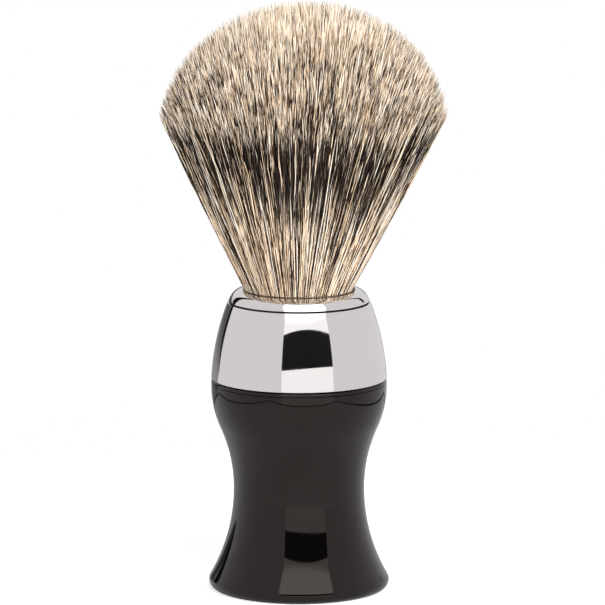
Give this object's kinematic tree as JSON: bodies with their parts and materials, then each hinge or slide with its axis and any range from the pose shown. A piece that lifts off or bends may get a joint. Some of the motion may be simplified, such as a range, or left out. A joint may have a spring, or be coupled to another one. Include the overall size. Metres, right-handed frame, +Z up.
{
  "type": "shaving brush",
  "caption": "Shaving brush with a domed fan of banded hair in a chromed collar that screws onto a waisted gloss black handle with a flared foot.",
  "frame": {"origin": "middle of the foot, on the surface that the brush stands on", "axes": "+Z up along the brush from the foot to the hair, -Y towards the viewer of the picture, +X to the viewer's right"},
  "size_m": [0.0521, 0.052, 0.1076],
  "materials": {
    "hair": "matte",
    "resin": "satin",
    "thread": "matte",
    "chrome": "polished",
    "moulding": "matte",
    "seal": "matte",
    "steel": "satin",
    "handle": "gloss",
    "brass": "satin"
  },
  "bodies": {
    "handle": {"handle_shell": "handle", "threaded_insert": "brass", "balance_weight": "steel", "base_plug": "moulding"},
    "seal": {"collar_seal_ring": "seal"},
    "head": {"chrome_collar": "chrome", "collar_core": "moulding", "flanged_stud": "steel", "knot_resin_plug": "resin", "knot_binding_thread": "thread", "bristle_knot": "hair"}
  },
  "joints": [
    {"name": "head_lift", "type": "slide", "parent": "handle", "child": "seal", "axis": [0, 0, 1], "range_m": [0, 0.0075]},
    {"name": "head_turn", "type": "hinge", "parent": "seal", "child": "head", "pos_m": [0, 0, 0.0389], "axis": [0, 0, 1], "range_deg": [0, 2160]}
  ],
  "couplings": [
    {"joint": "head_lift", "follows": "head_turn", "m_per_rad": 0.00019894}
  ]
}
